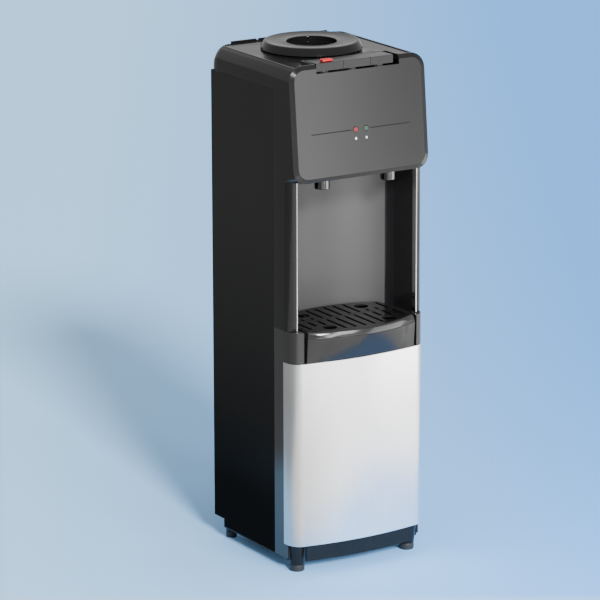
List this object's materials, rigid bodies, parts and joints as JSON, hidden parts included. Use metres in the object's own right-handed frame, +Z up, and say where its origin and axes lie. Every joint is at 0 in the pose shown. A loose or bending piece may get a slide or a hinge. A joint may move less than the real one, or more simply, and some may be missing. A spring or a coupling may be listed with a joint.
{
  "type": "water dispenser",
  "caption": "Floor-standing top-loading water dispenser: upturned-bottle collar, hot, room and cold keys, two spouts, curved bay, pull-out drip tray, bowed steel front.",
  "frame": {"origin": "on the floor, under the middle of the overall box", "axes": "+Z up; the front with the keys and the bay faces -Y; +X is the right hand of a person facing the front"},
  "size_m": [0.2794, 0.312, 0.9296],
  "materials": {
    "abs_black": "gloss",
    "abs_dark_grey": "satin gloss",
    "abs_silver": "pearl gloss",
    "painted_sheet": "satin black paint",
    "brushed_steel": "fine brushed",
    "chrome": "mirror",
    "tank_steel": "satin",
    "copper": "drawn copper",
    "insulation_foam": "cut foam",
    "silicone_tube": "satin",
    "rubber": "matte",
    "white_abs": "satin",
    "red_abs": "gloss",
    "red_lens": "gloss",
    "green_lens": "gloss",
    "circuit_board": "solder mask",
    "black_enamel": "satin enamel"
  },
  "bodies": {
    "cabinet": {"base_plate": "abs_black", "foot_front_left": "rubber", "foot_front_right": "rubber", "foot_rear_left": "rubber", "foot_rear_right": "rubber", "side_panel_left": "painted_sheet", "side_panel_right": "painted_sheet", "lower_frame": "abs_dark_grey", "steel_front_panel": "brushed_steel", "chrome_trim_left": "chrome", "chrome_trim_right": "chrome", "bay_liner": "abs_silver", "upper_housing": "abs_dark_grey", "fascia_panel": "abs_silver", "heating_light": "red_lens", "cooling_light": "green_lens", "light_board": "circuit_board", "key_shaft": "tank_steel", "top_cover": "abs_dark_grey", "bay_ceiling": "abs_dark_grey", "hot_spout": "chrome", "cold_spout": "chrome", "valve_bracket": "tank_steel", "hot_valve": "white_abs", "room_valve": "white_abs", "cold_valve": "white_abs", "hot_tube": "silicone_tube", "cold_tube": "silicone_tube", "room_tube": "silicone_tube", "cold_tank": "tank_steel", "tank_insulation": "insulation_foam", "water_baffle": "white_abs", "evaporator_coil": "copper", "hot_tank": "tank_steel", "heater_band": "tank_steel", "compressor_plate": "black_enamel", "compressor": "black_enamel", "rear_panel": "painted_sheet", "rear_screw_1": "tank_steel", "rear_screw_2": "tank_steel", "drain_outlet": "white_abs", "cord_gland": "rubber", "switch_bezel": "abs_black", "condenser": "black_enamel"},
    "hot_key": {"hot_button": "abs_silver"},
    "room_key": {"room_button": "abs_silver"},
    "cold_key": {"cold_button": "abs_silver"},
    "hot_stem": {"hot_valve_stem": "white_abs"},
    "room_stem": {"room_valve_stem": "white_abs"},
    "cold_stem": {"cold_valve_stem": "white_abs"},
    "lock": {"child_lock": "red_abs"},
    "tray": {"drip_tray": "abs_silver"},
    "grille_front": {"drip_grille_front": "abs_silver"},
    "grille_rear": {"drip_grille_rear": "abs_silver"},
    "collar": {"bottle_collar": "abs_black", "water_guard": "abs_black"},
    "cap": {"drain_cap": "white_abs"},
    "heater_rocker": {"hot_switch": "red_abs"},
    "cooler_rocker": {"cold_switch": "white_abs"}
  },
  "joints": [
    {"name": "hot_key_press", "type": "hinge", "parent": "cabinet", "child": "hot_key", "pos_m": [-0.0559, -0.0735, 0.9138], "axis": [1, 0, 0], "range_deg": [0, 4], "stiffness_Nm_per_rad": 0.8, "springref_deg": -1.72},
    {"name": "hot_stem_slide", "type": "slide", "parent": "cabinet", "child": "hot_stem", "axis": [0, 0, -1], "range_m": [0, 0.0014]},
    {"name": "room_key_press", "type": "hinge", "parent": "cabinet", "child": "room_key", "pos_m": [0, -0.0735, 0.9138], "axis": [1, 0, 0], "range_deg": [0, 4], "stiffness_Nm_per_rad": 0.8, "springref_deg": -1.72},
    {"name": "room_stem_slide", "type": "slide", "parent": "cabinet", "child": "room_stem", "axis": [0, 0, -1], "range_m": [0, 0.0014]},
    {"name": "cold_key_press", "type": "hinge", "parent": "cabinet", "child": "cold_key", "pos_m": [0.0559, -0.0735, 0.9138], "axis": [1, 0, 0], "range_deg": [0, 4], "stiffness_Nm_per_rad": 0.8, "springref_deg": -1.72},
    {"name": "cold_stem_slide", "type": "slide", "parent": "cabinet", "child": "cold_stem", "axis": [0, 0, -1], "range_m": [0, 0.0014]},
    {"name": "lock_slide", "type": "slide", "parent": "hot_key", "child": "lock", "axis": [1, 0, 0], "range_m": [0, 0.009]},
    {"name": "tray_slide", "type": "slide", "parent": "cabinet", "child": "tray", "axis": [0, -1, 0], "range_m": [0, 0.13]},
    {"name": "grille_front_lift", "type": "slide", "parent": "tray", "child": "grille_front", "axis": [0, 0, 1], "range_m": [0, 0.06]},
    {"name": "grille_rear_lift", "type": "slide", "parent": "tray", "child": "grille_rear", "axis": [0, 0, 1], "range_m": [0, 0.06]},
    {"name": "collar_lift", "type": "slide", "parent": "cabinet", "child": "collar", "axis": [0, 0, 1], "range_m": [0, 0.06]},
    {"name": "drain_cap_pull", "type": "slide", "parent": "cabinet", "child": "cap", "axis": [0, 1, 0], "range_m": [0, 0.02]},
    {"name": "heater_switch_rock", "type": "hinge", "parent": "cabinet", "child": "heater_rocker", "pos_m": [-0.012, 0.1282, 0.812], "axis": [1, 0, 0], "range_deg": [0, 16]},
    {"name": "cooler_switch_rock", "type": "hinge", "parent": "cabinet", "child": "cooler_rocker", "pos_m": [0.012, 0.1282, 0.812], "axis": [1, 0, 0], "range_deg": [0, 16]}
  ],
  "couplings": [
    {"joint": "hot_stem_slide", "follows": "hot_key_press", "m_per_rad": 0.0185},
    {"joint": "room_stem_slide", "follows": "room_key_press", "m_per_rad": 0.0185},
    {"joint": "cold_stem_slide", "follows": "cold_key_press", "m_per_rad": 0.0185}
  ]
}
